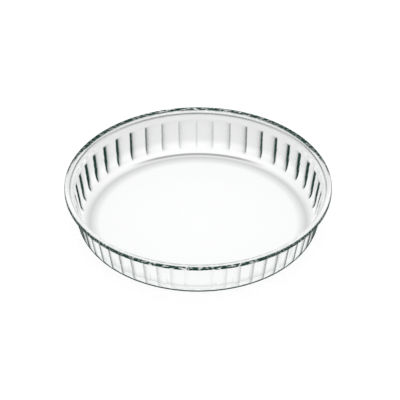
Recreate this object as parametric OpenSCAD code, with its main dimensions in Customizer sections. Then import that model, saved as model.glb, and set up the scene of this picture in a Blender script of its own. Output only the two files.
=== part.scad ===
// Pressed-glass tart dish: one piece of clear glass with a flat base, a rounded
// heel, a leaning wall and a flat rim. Fine ribs stand on the inside of the wall,
// and broad convex flutes go round the outside.
// The surface is lofted through rings of points, from the base's underside out
// and up, over the rim and down again to the middle of the floor inside.
// Millimetres, +Z up, origin at the centre of the base's underside.

/* [Dish] */
// Diameter over the rim
rim_d = 260; // [220:1:320]
// Height from the table to the top of the rim
dish_h = 47; // [40:0.5:60]
// Thickness of the flat base
base_t = 4.5; // [3:0.5:6]
// Thickness of the wall between a valley outside and a panel inside
wall_t = 2.8; // [2.3:0.1:5]
// Lean of the wall outward from the vertical, in degrees
wall_lean = 12; // [6:0.5:16]
// Outer radius of the rounded heel between the base and the wall
heel_r = 17; // [12:0.5:20]

/* [Rim] */
// How far the flat rim stands out past the wall
rim_lip = 5.4; // [4:0.2:8]
// Thickness of the flat rim
rim_t = 4.7; // [3.5:0.1:6]
// Width of the flat top of the rim
rim_land = 3.4; // [2:0.1:5]
// Rounding of the two outer edges of the rim
rim_round = 1.1; // [0.4:0.1:1.6]

/* [Ribs inside] */
// Number of ribs on the inside of the wall
rib_count = 44; // [24:1:60]
// Width of a rib at its root
rib_w = 6; // [4:0.1:8]
// How far a rib stands out of the wall
rib_h = 1; // [0.5:0.1:1.8]
// Depth below the rim's top at which the wall flares out to the rim
neck_drop = 8; // [6.5:0.5:11]
// Height above the table at which the ribs sink into the floor's round
rib_foot_z = 8; // [6:0.5:14]
// Turn of the ribs from the +X axis, in degrees
rib_turn = 1; // [0:0.1:8]

/* [Flutes outside] */
// Number of flutes round the outside
flute_count = 56; // [36:1:72]
// Depth of the valleys between the flutes
flute_depth = 0.5; // [0.2:0.1:1.2]
// Turn of the valleys from the +X axis, in degrees
flute_turn = 0.3; // [0:0.1:6]

/* [Hidden] */

// Steps of the loft across one flute, across one rib with its panel, and round a smooth ring
flute_steps = 4;
rib_steps = 6;
plain_steps = 132;
// Steps round the heel and the floor's round
round_steps = 5;
// Width of a rib where it has sunk into the floor's round, as a share of its full width
rib_foot_w = 0.5;

rim_radius = rim_d / 2;
rim_under_z = dish_h - rim_t;
// Crests of the flutes where they meet the underside of the rim
wall_top_r = rim_radius - rim_lip;
heel_end_z = heel_r * (1 - sin(wall_lean));
function outer_r(z) = wall_top_r - (rim_under_z - z) * tan(wall_lean);
foot_r = outer_r(heel_end_z) - heel_r * cos(wall_lean);

// Inside of the wall: the same line moved inward by the flutes' depth and the wall
skin_t = wall_t + flute_depth;
function inner_r(z) = outer_r(z) - skin_t / cos(wall_lean);
floor_round = heel_r - skin_t;
floor_end_z = base_t + floor_round * (1 - sin(wall_lean));
floor_r = inner_r(floor_end_z) - floor_round * cos(wall_lean);
neck_z = dish_h - neck_drop;
rim_inner_r = rim_radius - rim_round - rim_land;

// Height of a round back over its root, for a place from -1 to 1 across it
function arch(across) = 1 - across * across;
// A ring of the loft: radius and height for each step, with a list of what each step adds to the radius
function ring(r, z, steps, adds = [0], turn = 0) = [
    for (i = [0 : steps - 1])
        let (a = turn + i * 360 / steps, reach = r + adds[i % len(adds)])
        [reach * cos(a), reach * sin(a), z]
];

// Flutes: the valley is the first step of each, and the crest is half-way
flute_adds = [for (i = [0 : flute_steps - 1]) flute_depth * (arch(2 * i / flute_steps - 1) - 1)];
function fluted(r, z, share = 1) =
    ring(r, z, flute_count * flute_steps, share * flute_adds, flute_turn);

// Ribs: four steps over the back of the rib, two over the flat panel next to it
function rib_place(i, r, share) =
    let (half = share * rib_w / 2, pitch = 2 * PI * r / rib_count)
    i < 5 ? (i - 2) * half / 2 : pitch / 2;
function rib_add(i, share) = i < 5 ? -share * rib_h * arch((i - 2) / 2) : 0;
function ribbed(r, z, share = 1) = [
    for (n = [0 : rib_count - 1], i = [0 : rib_steps - 1])
        let (
            across = rib_place(i, r, max(share, rib_foot_w)),
            a = rib_turn + n * 360 / rib_count + across / r * 180 / PI,
            reach = r + rib_add(i, share)
        )
        [reach * cos(a), reach * sin(a), z]
];

// Underside, heel and outside of the wall
heel_rings = [
    for (i = [1 : round_steps])
        let (a = (90 - wall_lean) * i / round_steps)
        fluted(foot_r + heel_r * sin(a), heel_r * (1 - cos(a)), min(1, 2 * (i - 1) / round_steps))
];
outside_rings = [
    ring(foot_r, 0, plain_steps),
    each heel_rings,
    fluted(wall_top_r, rim_under_z)
];

// Rim, from the outer edge of its underside over to its inner edge
edge_angles = [-90 : 45 : 0];
rim_rings = [
    for (a = edge_angles)
        ring(rim_radius - rim_round * (1 - cos(a)), rim_under_z + rim_round * (1 + sin(a)), plain_steps),
    for (a = [0 : 45 : 90])
        ring(rim_radius - rim_round * (1 - cos(a)), dish_h - rim_round * (1 - sin(a)), plain_steps),
    ring(rim_inner_r, dish_h, plain_steps)
];

// Neck, ribs and the floor's round inside
neck_r = inner_r(neck_z);
inside_rings = [
    ring((neck_r + rim_inner_r) / 2, (neck_z + dish_h) / 2, plain_steps),
    // The ribs' round tops
    for (share = [0, 0.35, 0.7, 1])
        let (z = neck_z - share * share * rib_w / 2)
        ribbed(inner_r(z), z, share),
    for (i = [round_steps : -1 : 1])
        let (
            a = (90 - wall_lean) * i / round_steps,
            z = base_t + floor_round * (1 - cos(a))
        )
        ribbed(floor_r + floor_round * sin(a), z, max(0, min(1, (z - rib_foot_z) / rib_foot_z))),
    ring(floor_r, base_t, plain_steps)
];

rings = [each outside_rings, each rim_rings, each inside_rings];

// Number of the first point of each ring
function starts(k = 0, from = 0) =
    k == len(rings) ? [from] : [from, each starts(k + 1, from + len(rings[k]))];
first = starts();

// Triangles between two rings, which may differ in their number of points
function between(k) =
    let (
        na = len(rings[k]),
        nb = len(rings[k + 1]),
        a = first[k],
        b = first[k + 1]
    )
    [
        for (i = [0 : na - 1])
            let (j = ceil((i + 0.5) * nb / na - 0.5))
            [a + i, b + j % nb, a + (i + 1) % na],
        for (j = [0 : nb - 1])
            let (i = floor((j + 0.5) * na / nb + 0.5))
            [a + i % na, b + j, b + (j + 1) % nb]
    ];

module dish() {
    last = len(rings) - 1;
    underside = [for (i = [0 : len(rings[0]) - 1]) first[0] + i];
    floor_face = [for (i = [len(rings[last]) - 1 : -1 : 0]) first[last] + i];
    color([0.86, 0.93, 0.9, 0.45])
        polyhedron(
            points = [for (r = rings) each r],
            faces = [underside, for (k = [0 : last - 1]) each between(k), floor_face]
        );
}

dish();
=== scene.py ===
"""Look of the pressed-glass tart dish: clear glass with a faint green tint, on a white set."""
import math

import bmesh
import bpy
import numpy as np
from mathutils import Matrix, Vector


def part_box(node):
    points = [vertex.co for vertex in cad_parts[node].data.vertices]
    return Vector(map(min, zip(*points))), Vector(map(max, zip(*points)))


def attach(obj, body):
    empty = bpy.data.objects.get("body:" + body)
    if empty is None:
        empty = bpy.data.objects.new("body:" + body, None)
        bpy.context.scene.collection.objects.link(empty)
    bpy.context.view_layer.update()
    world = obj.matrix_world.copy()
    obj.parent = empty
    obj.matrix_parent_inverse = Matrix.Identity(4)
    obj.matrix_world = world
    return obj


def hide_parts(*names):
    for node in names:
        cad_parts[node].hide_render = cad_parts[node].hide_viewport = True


# Sizes of the dish in millimetres, as in the part's source, with the wall's skin at a flute's crest
MM = 0.001
BASE_T = 4.5
SKIN_T = 3.3
LEAN = math.radians(12)
HEEL_R = 17.0
RIM_LIP = 5.4
RIM_T = 4.7
RIM_ROUND = 1.1
RIM_LAND = 3.4
NECK_DROP = 8.0
RIB_COUNT = 44
RIB_W = 6.0
RIB_TURN = math.radians(1.0)
RIB_FOOT_LOW = 8.0
RIB_FOOT_HIGH = 16.0
RIB_FOOT_W = 0.5
FLUTE_COUNT = 56
FLUTE_DEPTH = 0.5
FLUTE_TURN = math.radians(0.3)
# The ribs stand half as high as in the source, so that the near wall doesn't show the far ones again
RIB_H = 0.5
# How far below the rim the ribs' tops start, and over how much they reach their full height
RIB_TOP_DROP = 8.0
RIB_TOP_REACH = 4.0
# Rounds that only the look needs: under the rim, at its inner edge and at the neck
UNDER_ROUND = 1.0
LIP_ROUND = 1.0
NECK_ROUND = 4.0

# Steps of the mesh: round a corner, along the outline, near the rim's inner edge, round the heel and
# over the panel between two ribs
CORNER_STEP = 0.35
CORNER_LEAST = 3
STEP = 2.0
LIP_STEP = 0.6
ROUND_STEPS = 14
PANEL_STEPS = 12
# Places across a flute and over a rib's back, from -1 to 1, closest together where the form turns most
FLUTE_PLACES = (-1, -0.94, -0.84, -0.66, -0.44, -0.22, 0, 0.22, 0.44, 0.66, 0.84, 0.94)
RIB_PLACES = (-1, -0.85, -0.7, -0.52, -0.35, -0.17, 0, 0.17, 0.35, 0.52, 0.7, 0.85, 1)
# Width of the strip that keeps the flats' shading flat, and the angle above which an edge is sharp
STRIP = 2.0
SMOOTH_BELOW = math.radians(35)

# Glass, and the dark green painted on its edges and slits as the photograph shows them
GLASS_IOR = 1.5
GLASS_TINT = (0.50, 0.72, 0.64)
GLASS_DENSITY = 6.5
# This dark green is painted shade: the dark the glass shows at its edges, slits and outline
PAINTED_SHADE_GREEN = (0.010, 0.045, 0.032, 1)
CLEAR = (1, 1, 1, 1)
# Share of the light that still goes through the darkest painted shade
DARKEST_CLEAR = 0.1
# The plain glass's gloss, and the depth of painted shade from which there is none
PLAIN_GLOSS = 0.5
GLOSS_ENDS = 0.5
# Light that has bounced more often than this leaves the glass
BOUNCES = 2.5

# The rim's edge is painted dark, as painted shade, from this far inside its radius
EDGE_REACH = 0.3
# Light specks in that painted shade: scale of the grain, its stretch, and the grain's range between dark
# and light
EDGE_GRAIN = 600.0
GRAIN_DETAIL = 2
GRAIN_STRETCH = (0.35, 1, 1)
GRAIN_LIGHT = 0.4
GRAIN_DARK = 0.47
# How dark the specks are near the dish's middle line and away from it, and the metres between which
# that changes
SPECK_MIDDLE = 0.25
SPECK_SIDES = 0.75
SPECKS_FROM = 0.028
SPECKS_TO = 0.07

# The painted shade on the rim's top, a dark band: how far in it reaches at the back and elsewhere, how soon
# it widens behind the sides, and over how much it fades
BAND_REACH = 5.4
BAND_LEAST = 1.1
BAND_WIDENS = 2
BAND_FADE = 0.9
# The rim's inner edge is painted with a thin grey line of shade: how far inside the rim's radius, how much
# farther at the back, its width and its strength
INNER_LINE = 5.2
INNER_BACK = 1.3
INNER_WIDTH = 0.5
INNER_DARK = 0.85
# The outside is painted dark where it turns out of sight, as painted shade: below which facing on the heel
# and on the wall, and over how much it fades
HEEL_TURN = 0.62
WALL_TURN = 0.32
TURN_SOFT = 0.15

# A rib is painted with a dark slit of painted shade. Width of the slit at the front and back, and what it
# gains at the sides
SLIT_NARROWEST = 0.9
SLIT_GROWTH = 4.4
# How much it leans, per millimetre below its top
SLIT_TILT = 0.15
# How dark it is at the front and back, and what it gains at the sides
SLIT_FAINT = 0.26
SLIT_GAIN = 1.35
# Softness of its sharp side, and how dark and how wide the shade on its soft side is
SLIT_EDGE = 0.4
SLIT_SOFT = 0.8
SLIT_FADE = 2.4
# Heights of its ends, over how much they fade, and over how much its foot narrows
SLIT_TOP_Z = 38.5
SLIT_TOP_FADE = 1.5
SLIT_FOOT_Z = 8.0
SLIT_FOOT_FADE = 3.0
SLIT_FOOT_TAPER = 12.0
# A flute's valley is painted with a faint line of shade: width of its sharp and of its soft side
LINE_WIDTH = 0.3
LINE_FADE = 3.2
# How dark it is at the front and back, what it gains at the sides, and the least that it has
LINE_FAINT = -0.04
LINE_GAIN = 1.3
LINE_LEAST = 0.03
# Height at which it ends in the heel, and over how much it fades there
LINE_FOOT_Z = 3.0
LINE_FOOT_FADE = 4.0

# The floor, in metres: half its side, how far it lies below the dish, and its paint
FLOOR_HALF = 0.9
FLOOR_GAP = 0.0002
FLOOR_PAINT = (0.9, 0.9, 0.9, 1)
# How bright the floor is as glass shows it, by the distance from the middle: the dish's painted shadow in
# grey rings
FLOOR_REACH = 0.3
FLOOR_SHADOW_LEVELS = [
    (0.0, 1.0),
    (0.096, 0.97),
    (0.1065, 0.62),
    (0.1125, 0.93),
    (0.118, 1.0),
    (0.131, 1.0),
    (0.142, 0.82),
    (0.165, 0.80),
    (0.180, 0.72),
    (0.215, 1.0),
]
# A painted shadow on the floor behind the dish, a thin dark arc: its radius, width and strength, and where
# it sets in
SHADOW_ARC_R = 0.1130
SHADOW_ARC_WIDTH = 0.0026
SHADOW_ARC_DARK = 0.6
SHADOW_ARC_FROM_Y = 0.092
SHADOW_ARC_FULL_Y = 0.106
# To the camera the floor is white with a share of its lit paint, which keeps the dish's shadow
SHADOW_SHARE = 0.3
FLOOR_GLOW = 1.15

# Dark room beside the set, between the horizon and the ceiling. How far aside it starts and is full,
# its level, over how much it sets in at the horizon, and the heights between which it ends
SIDE_START = 0.3
SIDE_FULL = 0.65
ROOM_LEVEL = 0.4
HORIZON_WIDTH = 0.01
CEILING_LOW = 0.5
CEILING_FULL = 0.65

# Camera: found from the photograph's rim and base outlines, for a picture 400 pixels wide
PICTURE = 400
CAMERA_ELEVATION = math.radians(37.28)
CAMERA_DISTANCE = 4.643
FOCAL_PX = 4748
BASE_CENTRE_PX = (198.07, 223.74)
SENSOR_MM = 36
FAR_CLIP = 50


def smooth(x):
    """Soft step from 0 to 1."""
    x = min(1.0, max(0.0, x))
    return x * x * (3 - 2 * x)


def arc(centre, radius, start, end, steps):
    """Points of a round corner in the outline's plane."""
    angles = np.linspace(start, end, steps + 1)
    return [(centre[0] + radius * math.cos(a), centre[1] + radius * math.sin(a)) for a in angles]


def rounded(points, radii):
    """The outline with its inner corners rounded, one radius for each of them."""
    line = [points[0]]
    for before, corner, after, radius in zip(points, points[1:], points[2:], radii):
        b = Vector(corner)
        u = (Vector(before) - b).normalized()
        v = (Vector(after) - b).normalized()
        half = u.angle(v) / 2
        reach = radius / math.tan(half)
        centre = b + (u + v).normalized() * radius / math.sin(half)
        start = b + u * reach - centre
        end = b + v * reach - centre
        a0 = math.atan2(start.y, start.x)
        turn = (math.atan2(end.y, end.x) - a0 + math.pi) % (2 * math.pi) - math.pi
        steps = max(CORNER_LEAST, int(abs(turn) * radius / CORNER_STEP))
        line += arc(centre, radius, a0, a0 + turn, steps)
    return line + [points[-1]]


def divided(line, longest):
    """The outline with extra points, so that no step is longer than longest."""
    out = [line[0]]
    for a, b in zip(line, line[1:]):
        steps = max(1, math.ceil(math.dist(a, b) / longest))
        for k in range(1, steps + 1):
            out.append((a[0] + (b[0] - a[0]) * k / steps, a[1] + (b[1] - a[1]) * k / steps))
    return out


class Section:
    """The dish's section, in millimetres: radius and height."""

    def __init__(self, rim_radius, height):
        self.rim_radius = rim_radius
        self.height = height
        self.under_z = height - RIM_T
        self.wall_top_r = rim_radius - RIM_LIP
        self.heel_end_z = HEEL_R * (1 - math.sin(LEAN))
        self.foot_r = self.outer(self.heel_end_z) - HEEL_R * math.cos(LEAN)
        self.floor_round = HEEL_R - SKIN_T
        self.floor_end_z = BASE_T + self.floor_round * (1 - math.sin(LEAN))
        self.floor_r = self.inner(self.floor_end_z) - self.floor_round * math.cos(LEAN)
        self.neck_z = height - NECK_DROP

    def outer(self, z):
        """Radius of the wall's outside at this height, at the flutes' crests."""
        return self.wall_top_r - (self.under_z - z) * math.tan(LEAN)

    def inner(self, z):
        """Radius of the wall's inside at this height, between the ribs."""
        return self.outer(z) - SKIN_T / math.cos(LEAN)

    def outside(self):
        """From the underside out, round the heel, up the wall and over the rim's outer edge."""
        heel = arc((self.foot_r, HEEL_R), HEEL_R, -math.pi / 2, -LEAN, ROUND_STEPS)
        rim = rounded(
            [
                heel[-1],
                (self.wall_top_r, self.under_z),
                (self.rim_radius, self.under_z),
                (self.rim_radius, self.height),
                (self.rim_radius - RIM_ROUND - RIM_LAND / 2, self.height),
            ],
            [UNDER_ROUND, RIM_ROUND, RIM_ROUND],
        )
        return [(self.foot_r - STRIP, 0)] + divided(heel[:-1] + rim, STEP)

    def inside(self):
        """From the rim's top over its inner edge, down the wall and onto the floor."""
        land_r = self.rim_radius - RIM_ROUND - RIM_LAND
        wall = rounded(
            [
                (land_r + RIM_LAND / 2, self.height),
                (land_r, self.height),
                (self.inner(self.neck_z), self.neck_z),
                (self.inner(self.floor_end_z), self.floor_end_z),
            ],
            [LIP_ROUND, NECK_ROUND],
        )
        lip_end_z = self.neck_z + NECK_ROUND / 2
        lip = divided([point for point in wall[1:] if point[1] > lip_end_z], LIP_STEP)
        rest = [point for point in wall[1:-1] if point[1] <= lip_end_z]
        centre = (self.floor_r, BASE_T + self.floor_round)
        fillet = arc(centre, self.floor_round, -LEAN, -math.pi / 2, ROUND_STEPS)
        return divided(lip + rest + fillet, STEP) + [(self.floor_r - STRIP, BASE_T)]


def flute_angles():
    """Angles round the outside, and each one's place across its flute from -1 to 1."""
    pitch = 2 * math.pi / FLUTE_COUNT
    starts = np.arange(FLUTE_COUNT)
    angles = [(n + 0.5 + place / 2) * pitch + FLUTE_TURN for n in starts for place in FLUTE_PLACES]
    return np.array(angles), np.tile(FLUTE_PLACES, FLUTE_COUNT)


def rib_angles(radius):
    """Angles round the inside, and each one's place: -1 to 1 over a rib, and above 1 on the panel."""
    half = RIB_W / 2 / radius
    pitch = 2 * math.pi / RIB_COUNT
    panel = np.linspace(1.0, pitch / half - 1.0, PANEL_STEPS)[1:-1]
    places = np.concatenate([RIB_PLACES, panel])
    angles = [n * pitch + place * half + RIB_TURN for n in range(RIB_COUNT) for place in places]
    return np.array(angles), np.tile(places, RIB_COUNT)


def nearest(angles, count, turn, radius):
    """Distance round the wall from the nearest rib or valley, above 0 towards the front or back."""
    pitch = 2 * math.pi / count
    away = (angles - turn + pitch / 2) % pitch - pitch / 2
    return away * radius * np.sign(np.cos(angles) * np.sin(angles))


def slit_shade(angles, z, radius):
    """Painted shade on the ribs: sharp dark slits at the sides, faint lines at the front and back."""
    aslant = np.abs(np.cos(angles))
    foot = min(1.0, max(0.0, (z - SLIT_FOOT_Z) / SLIT_FOOT_TAPER)) ** 0.5
    width = (SLIT_NARROWEST + SLIT_GROWTH * aslant ** 2) * foot
    shift = width / 2 + aslant + SLIT_TILT * aslant * (SLIT_TOP_Z - z)
    place = nearest(angles, RIB_COUNT, RIB_TURN, radius) + shift
    core = np.clip(place / SLIT_EDGE, 0, 1)
    soft = SLIT_SOFT * np.exp(-np.clip(place - width, 0, None) / SLIT_FADE)
    strength = np.clip(SLIT_FAINT + SLIT_GAIN * aslant, 0, 1)
    ends = smooth((z - SLIT_FOOT_Z) / SLIT_FOOT_FADE) * smooth((SLIT_TOP_Z - z) / SLIT_TOP_FADE)
    return strength * core * np.where(place < width, 1, soft) * ends


def valley_line_shade(angles, z, radius):
    """Painted shade in the valleys between the flutes."""
    aslant = np.abs(np.cos(angles))
    place = nearest(angles, FLUTE_COUNT, FLUTE_TURN, radius)
    width = np.where(place < 0, LINE_WIDTH, LINE_FADE)
    strength = np.clip(LINE_FAINT + LINE_GAIN * aslant, LINE_LEAST, 1)
    return strength * np.exp(-((place / width) ** 2)) * smooth((z - LINE_FOOT_Z) / LINE_FOOT_FADE)


def band_shade(angles, r, section):
    """Painted shade on the rim's top: a band along its outer edge, widest at the back."""
    reach = np.maximum(BAND_LEAST, BAND_REACH * np.clip(BAND_WIDENS * np.sin(angles), 0, 1))
    return np.clip((r - section.rim_radius + reach) / BAND_FADE, 0, 1)


def inner_line_shade(angles, r, section):
    """Painted shade on the rim's inner edge: a thin grey line."""
    inside = INNER_LINE + INNER_BACK * np.clip(np.sin(angles), 0, 1)
    return INNER_DARK * np.exp(-(((section.rim_radius - inside - r) / INNER_WIDTH) ** 2))


def outside_rings(section):
    """Rings of the outside, with the flutes cut into the wall and running out in the heel's round.

    A ring holds its radii, angles and height, and then its levels of painted shade: slit, edge and turn.
    """
    angles, places = flute_angles()
    none = np.zeros(len(angles))
    valley = FLUTE_DEPTH * places ** 2 / math.cos(LEAN)
    rings = []
    for r, z in section.outside():
        reach = r + none
        on_wall = section.foot_r < r <= section.outer(z) + UNDER_ROUND
        if on_wall and z <= section.under_z + UNDER_ROUND / 2:
            past = smooth((r - section.outer(min(z, section.under_z))) / UNDER_ROUND)
            reach = np.minimum(reach, max(r, section.outer(z)) - (1 - past) * valley)
        # Painted shade on the outside: the rim's outer edge and top band, the valleys' lines and the dark
        # outline
        at_edge = r > section.rim_radius - EDGE_REACH and z < section.height - RIM_ROUND / 2
        edge = none + at_edge
        if z > section.height - RIM_ROUND:
            edge = np.maximum(edge, band_shade(angles, r, section))
        slit = valley_line_shade(angles, z, r) if on_wall else none
        turn = none + on_wall * (HEEL_TURN + (WALL_TURN - HEEL_TURN) * smooth(z / HEEL_R))
        rings.append((reach, angles, z, slit, edge, turn))
    return rings


def inside_rings(section):
    """Rings of the inside, kept in the same way, with the ribs' round backs standing out of the wall."""
    angles, places = rib_angles(section.inner(section.height / 2))
    none = np.zeros(len(angles))
    top_z = section.height - RIB_TOP_DROP
    rings = []
    for r, z in section.inside():
        foot = smooth((z - RIB_FOOT_LOW) / (RIB_FOOT_HIGH - RIB_FOOT_LOW))
        top = smooth((top_z - z) / RIB_TOP_REACH)
        width = RIB_FOOT_W + (1 - RIB_FOOT_W) * foot
        back = np.clip(1 - (places / width) ** 2, 0, 1) ** 2
        # Painted shade on the inside: the ribs' slits, the rim's inner line and the top band
        slit = slit_shade(angles, z, r) + inner_line_shade(angles, r, section)
        edge = band_shade(angles, r, section)
        rings.append((r - RIB_H * foot * top * back, angles, z, slit, edge, none))
    return rings


def band(start_a, angles_a, start_b, angles_b):
    """Faces between two rings. Rings with different angles are joined by triangles."""
    na = len(angles_a)
    nb = len(angles_b)
    if na == nb:
        return [
            (start_a + i, start_a + (i + 1) % na, start_b + (i + 1) % nb, start_b + i)
            for i in range(na)
        ]
    turn = 2 * math.pi
    faces = []
    i = 0
    j = 0
    while i < na or j < nb:
        next_a = angles_a[i + 1] if i + 1 < na else angles_a[0] + turn
        next_b = angles_b[j + 1] if j + 1 < nb else angles_b[0] + turn
        if j >= nb or (i < na and next_a <= next_b):
            faces.append((start_a + i, start_a + (i + 1) % na, start_b + j % nb))
            i += 1
        else:
            faces.append((start_a + i % na, start_b + (j + 1) % nb, start_b + j))
            j += 1
    return faces


def dish_object(section):
    """The whole dish as one closed mesh, lofted through its rings."""
    rings = outside_rings(section) + inside_rings(section)
    verts = []
    starts = []
    # The levels of painted shade that each point keeps
    shades = {"slit": [], "edge": [], "turn": []}
    for reach, angles, z, *levels in rings:
        starts.append(len(verts))
        for name, level in zip(shades, levels):
            shades[name] += list(level)
        heights = np.full(len(angles), z)
        verts += list(zip(reach * np.cos(angles) * MM, reach * np.sin(angles) * MM, heights * MM))
    faces = []
    for k, (this, following) in enumerate(zip(rings, rings[1:])):
        faces += band(starts[k], this[1], starts[k + 1], following[1])
    faces.append(tuple(reversed(range(starts[1]))))
    faces.append(tuple(range(starts[-1], len(verts))))
    mesh = bpy.data.meshes.new("glass_dish")
    mesh.from_pydata(verts, [], faces)
    for name, levels in shades.items():
        mesh.attributes.new(name, "FLOAT", "POINT").data.foreach_set("value", levels)
    work = bmesh.new()
    work.from_mesh(mesh)
    bmesh.ops.recalc_face_normals(work, faces=work.faces)
    work.to_mesh(mesh)
    work.free()
    mesh.polygons.foreach_set("use_smooth", [True] * len(mesh.polygons))
    mesh.set_sharp_from_angle(angle=SMOOTH_BELOW)
    dish = bpy.data.objects.new("glass_dish", mesh)
    bpy.context.scene.collection.objects.link(dish)
    return dish


def attribute(nodes, name):
    """The value that the mesh keeps under this name."""
    node = nodes.new("ShaderNodeAttribute")
    node.attribute_name = name
    return node.outputs["Fac"]


def is_ray(nodes, kind):
    """1 for rays of this kind, and 0 for others."""
    return nodes.new("ShaderNodeLightPath").outputs["Is " + kind + " Ray"]


def maths(nodes, links, operation, *values):
    """A maths node of plain numbers and other nodes' values."""
    node = nodes.new("ShaderNodeMath")
    node.operation = operation
    for socket, value in zip(node.inputs, values):
        if isinstance(value, (int, float)):
            socket.default_value = value
        else:
            links.new(value, socket)
    return node.outputs["Value"]


def mapped(nodes, links, value, from_low, from_high, to_low, to_high, interpolation="LINEAR"):
    """A value carried over from one range to another, and held inside it."""
    node = nodes.new("ShaderNodeMapRange")
    node.interpolation_type = interpolation
    names = ("From Min", "From Max", "To Min", "To Max")
    for name, number in zip(names, (from_low, from_high, to_low, to_high)):
        node.inputs[name].default_value = number
    links.new(value, node.inputs["Value"])
    return node.outputs["Result"]


def mixed(nodes, links, share, first, second):
    """A colour between two others. Each is plain, or another node's."""
    node = nodes.new("ShaderNodeMix")
    node.data_type = "RGBA"
    links.new(share, node.inputs["Factor"])
    for name, colour in (("A", first), ("B", second)):
        if isinstance(colour, tuple):
            node.inputs[name].default_value = colour
        else:
            links.new(colour, node.inputs[name])
    return node.outputs["Result"]


def graded(nodes, links, value, stops):
    """A grey level for each value between 0 and 1, from a list of places and levels."""
    ramp = nodes.new("ShaderNodeValToRGB")
    while len(ramp.color_ramp.elements) < len(stops):
        ramp.color_ramp.elements.new(0.5)
    for element, (position, level) in zip(ramp.color_ramp.elements, stops):
        element.position = position
        element.color = (level, level, level, 1)
    links.new(value, ramp.inputs["Fac"])
    return ramp.outputs["Color"]


def split(nodes, links, vector):
    """The three parts of a vector."""
    node = nodes.new("ShaderNodeSeparateXYZ")
    links.new(vector, node.inputs["Vector"])
    return node.outputs


def speckled_shade(nodes, links):
    """1 on most of the rim's painted shade, and less on its light specks, least of all near the middle
    line.
    """
    place = nodes.new("ShaderNodeTexCoord").outputs["Object"]
    drawn = nodes.new("ShaderNodeVectorMath")
    drawn.operation = "MULTIPLY"
    drawn.inputs[1].default_value = GRAIN_STRETCH
    links.new(place, drawn.inputs[0])
    grain = nodes.new("ShaderNodeTexNoise")
    grain.inputs["Scale"].default_value = EDGE_GRAIN
    grain.inputs["Detail"].default_value = GRAIN_DETAIL
    links.new(drawn.outputs["Vector"], grain.inputs["Vector"])
    specks = mapped(nodes, links, grain.outputs["Fac"], GRAIN_LIGHT, GRAIN_DARK, 1, 0)
    aside = maths(nodes, links, "ABSOLUTE", split(nodes, links, place)["X"])
    least = mapped(nodes, links, aside, SPECKS_FROM, SPECKS_TO, SPECK_MIDDLE, SPECK_SIDES)
    missing = maths(nodes, links, "MULTIPLY", specks, maths(nodes, links, "SUBTRACT", 1.0, least))
    return maths(nodes, links, "SUBTRACT", 1.0, missing)


def turned_away_shade(nodes, links):
    """Painted shade on the outside where it turns out of sight, from wherever it is seen."""
    weight = nodes.new("ShaderNodeLayerWeight")
    facing = maths(nodes, links, "SUBTRACT", 1.0, weight.outputs["Facing"])
    below = maths(nodes, links, "SUBTRACT", attribute(nodes, "turn"), facing)
    return mapped(nodes, links, below, 0, TURN_SOFT, 0, 1)


def painted_glass_shade(nodes, links):
    """How much dark green shade is painted on the glass here, to the camera only."""
    edge = maths(nodes, links, "MULTIPLY", attribute(nodes, "edge"), speckled_shade(nodes, links))
    lines = maths(nodes, links, "MAXIMUM", edge, attribute(nodes, "slit"))
    all_three = maths(nodes, links, "MAXIMUM", lines, turned_away_shade(nodes, links))
    return maths(nodes, links, "MULTIPLY", all_three, is_ray(nodes, "Camera"))


def glass_material():
    """Clear pressed glass, with dark green shade painted at its edges, slits and outline."""
    material = bpy.data.materials.new("clear_glass")
    material.use_nodes = True
    nodes = material.node_tree.nodes
    links = material.node_tree.links
    surface = nodes["Principled BSDF"]
    surface.inputs["Roughness"].default_value = 0.0
    surface.inputs["IOR"].default_value = GLASS_IOR
    depth = painted_glass_shade(nodes, links)
    clear = mapped(nodes, links, depth, 0, 1, 1, DARKEST_CLEAR)
    gloss = mapped(nodes, links, depth, 0, GLOSS_ENDS, PLAIN_GLOSS, 0)
    bounced = nodes.new("ShaderNodeLightPath").outputs["Ray Depth"]
    links.new(mixed(nodes, links, depth, CLEAR, PAINTED_SHADE_GREEN), surface.inputs["Base Color"])
    links.new(clear, surface.inputs["Transmission Weight"])
    links.new(gloss, surface.inputs["Specular IOR Level"])
    links.new(maths(nodes, links, "LESS_THAN", bounced, BOUNCES), surface.inputs["Alpha"])
    volume = nodes.new("ShaderNodeVolumeAbsorption")
    volume.inputs["Color"].default_value = (*GLASS_TINT, 1)
    volume.inputs["Density"].default_value = GLASS_DENSITY
    links.new(volume.outputs["Volume"], nodes["Material Output"].inputs["Volume"])
    return material


def floor_glow_and_shadow(nodes, links):
    """The floor's glow: for the glass, greys with the dish's painted shadow in rings and a thin dark arc;
    white for the camera.
    """
    place = nodes.new("ShaderNodeTexCoord").outputs["Object"]
    length = nodes.new("ShaderNodeVectorMath")
    length.operation = "LENGTH"
    links.new(place, length.inputs[0])
    reach = length.outputs["Value"]
    share = maths(nodes, links, "DIVIDE", reach, FLOOR_REACH)
    stops = [(distance / FLOOR_REACH, level) for distance, level in FLOOR_SHADOW_LEVELS]
    shade = graded(nodes, links, share, stops)
    # Painted shadow: a thin dark arc on the floor behind the dish
    off_ring = maths(nodes, links, "ABSOLUTE", maths(nodes, links, "SUBTRACT", reach, SHADOW_ARC_R))
    ring = mapped(nodes, links, off_ring, SHADOW_ARC_WIDTH / 2, SHADOW_ARC_WIDTH, SHADOW_ARC_DARK, 0)
    beyond = mapped(nodes, links, split(nodes, links, place)["Y"], SHADOW_ARC_FROM_Y, SHADOW_ARC_FULL_Y, 0, 1)
    dark = maths(nodes, links, "MULTIPLY", ring, beyond)
    light = maths(nodes, links, "MULTIPLY", shade, maths(nodes, links, "SUBTRACT", 1.0, dark))
    white = maths(nodes, links, "MULTIPLY", is_ray(nodes, "Camera"), FLOOR_GLOW)
    return maths(nodes, links, "MAXIMUM", light, white)


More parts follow.
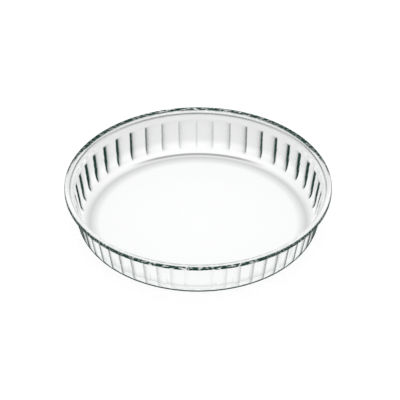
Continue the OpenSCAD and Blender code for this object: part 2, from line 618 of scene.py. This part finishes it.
def glow_share(nodes, links):
    """Share of the floor's glow over its paint: all for glass and gloss, most for the camera, else none."""
    seen = maths(nodes, links, "MAXIMUM", is_ray(nodes, "Camera"), is_ray(nodes, "Transmission"))
    seen = maths(nodes, links, "MAXIMUM", seen, is_ray(nodes, "Glossy"))
    paint = maths(nodes, links, "MULTIPLY", is_ray(nodes, "Camera"), SHADOW_SHARE)
    return maths(nodes, links, "SUBTRACT", seen, paint)


def floor_object():
    """A pale floor under the dish, which shows white."""
    half = FLOOR_HALF
    corners = [(-half, -half, 0), (half, -half, 0), (half, half, 0), (-half, half, 0)]
    mesh = bpy.data.meshes.new("floor")
    mesh.from_pydata(corners, [], [(0, 1, 2, 3)])
    floor = bpy.data.objects.new("floor", mesh)
    floor.location.z = -FLOOR_GAP
    bpy.context.scene.collection.objects.link(floor)
    material = bpy.data.materials.new("floor")
    material.use_nodes = True
    nodes = material.node_tree.nodes
    links = material.node_tree.links
    nodes.clear()
    paint = nodes.new("ShaderNodeBsdfDiffuse")
    paint.inputs["Color"].default_value = FLOOR_PAINT
    glow = nodes.new("ShaderNodeEmission")
    mix = nodes.new("ShaderNodeMixShader")
    out = nodes.new("ShaderNodeOutputMaterial")
    links.new(floor_glow_and_shadow(nodes, links), glow.inputs["Color"])
    links.new(glow_share(nodes, links), mix.inputs["Fac"])
    links.new(paint.outputs["BSDF"], mix.inputs[1])
    links.new(glow.outputs["Emission"], mix.inputs[2])
    links.new(mix.outputs["Shader"], out.inputs["Surface"])
    mesh.materials.append(material)


def sky():
    """White behind the dish for the camera; for light, a bright ceiling over a room dark at the sides."""
    world = bpy.data.worlds.new("studio")
    bpy.context.scene.world = world
    world.use_nodes = True
    nodes = world.node_tree.nodes
    links = world.node_tree.links
    nodes.clear()
    ways = split(nodes, links, nodes.new("ShaderNodeTexCoord").outputs["Generated"])
    stops = [
        (0.0, 1.0),
        (0.5 - HORIZON_WIDTH, 1.0),
        (0.5, ROOM_LEVEL),
        (0.5 + CEILING_LOW / 2, ROOM_LEVEL),
        (0.5 + CEILING_FULL / 2, 1.0),
    ]
    lift = maths(nodes, links, "MULTIPLY_ADD", ways["Z"], 0.5, 0.5)
    aside = maths(nodes, links, "ABSOLUTE", ways["X"])
    side = mapped(nodes, links, aside, SIDE_START, SIDE_FULL, 0, 1, "SMOOTHSTEP")
    room = mixed(nodes, links, side, CLEAR, graded(nodes, links, lift, stops))
    light = nodes.new("ShaderNodeBackground")
    out = nodes.new("ShaderNodeOutputWorld")
    links.new(mixed(nodes, links, is_ray(nodes, "Camera"), room, CLEAR), light.inputs["Color"])
    links.new(light.outputs["Background"], out.inputs["Surface"])


def camera():
    """The photograph's view: a long lens from the front and above."""
    data = bpy.data.cameras.new("camera")
    data.sensor_width = SENSOR_MM
    data.lens = FOCAL_PX * SENSOR_MM / PICTURE
    data.clip_end = FAR_CLIP
    data.shift_x = (PICTURE / 2 - BASE_CENTRE_PX[0]) / PICTURE
    data.shift_y = (BASE_CENTRE_PX[1] - PICTURE / 2) / PICTURE
    eye = bpy.data.objects.new("camera", data)
    forward = Vector((0, math.cos(CAMERA_ELEVATION), -math.sin(CAMERA_ELEVATION)))
    eye.location = -CAMERA_DISTANCE * forward
    eye.rotation_euler = forward.to_track_quat("-Z", "Y").to_euler()
    bpy.context.scene.collection.objects.link(eye)
    bpy.context.scene.camera = eye


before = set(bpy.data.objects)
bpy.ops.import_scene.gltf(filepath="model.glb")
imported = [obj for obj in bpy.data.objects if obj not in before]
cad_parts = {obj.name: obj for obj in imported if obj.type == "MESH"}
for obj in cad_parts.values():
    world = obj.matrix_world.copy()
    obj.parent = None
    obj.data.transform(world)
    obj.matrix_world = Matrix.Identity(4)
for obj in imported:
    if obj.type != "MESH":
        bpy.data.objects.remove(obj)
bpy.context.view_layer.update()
low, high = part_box("dish")
section = Section((high.x - low.x) / 2 / MM, (high.z - low.z) / MM)
dish = dish_object(section)
dish.data.materials.append(glass_material())
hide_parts("dish")
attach(dish, "root")
floor_object()
sky()
camera()
bpy.context.scene.view_settings.view_transform = "Standard"
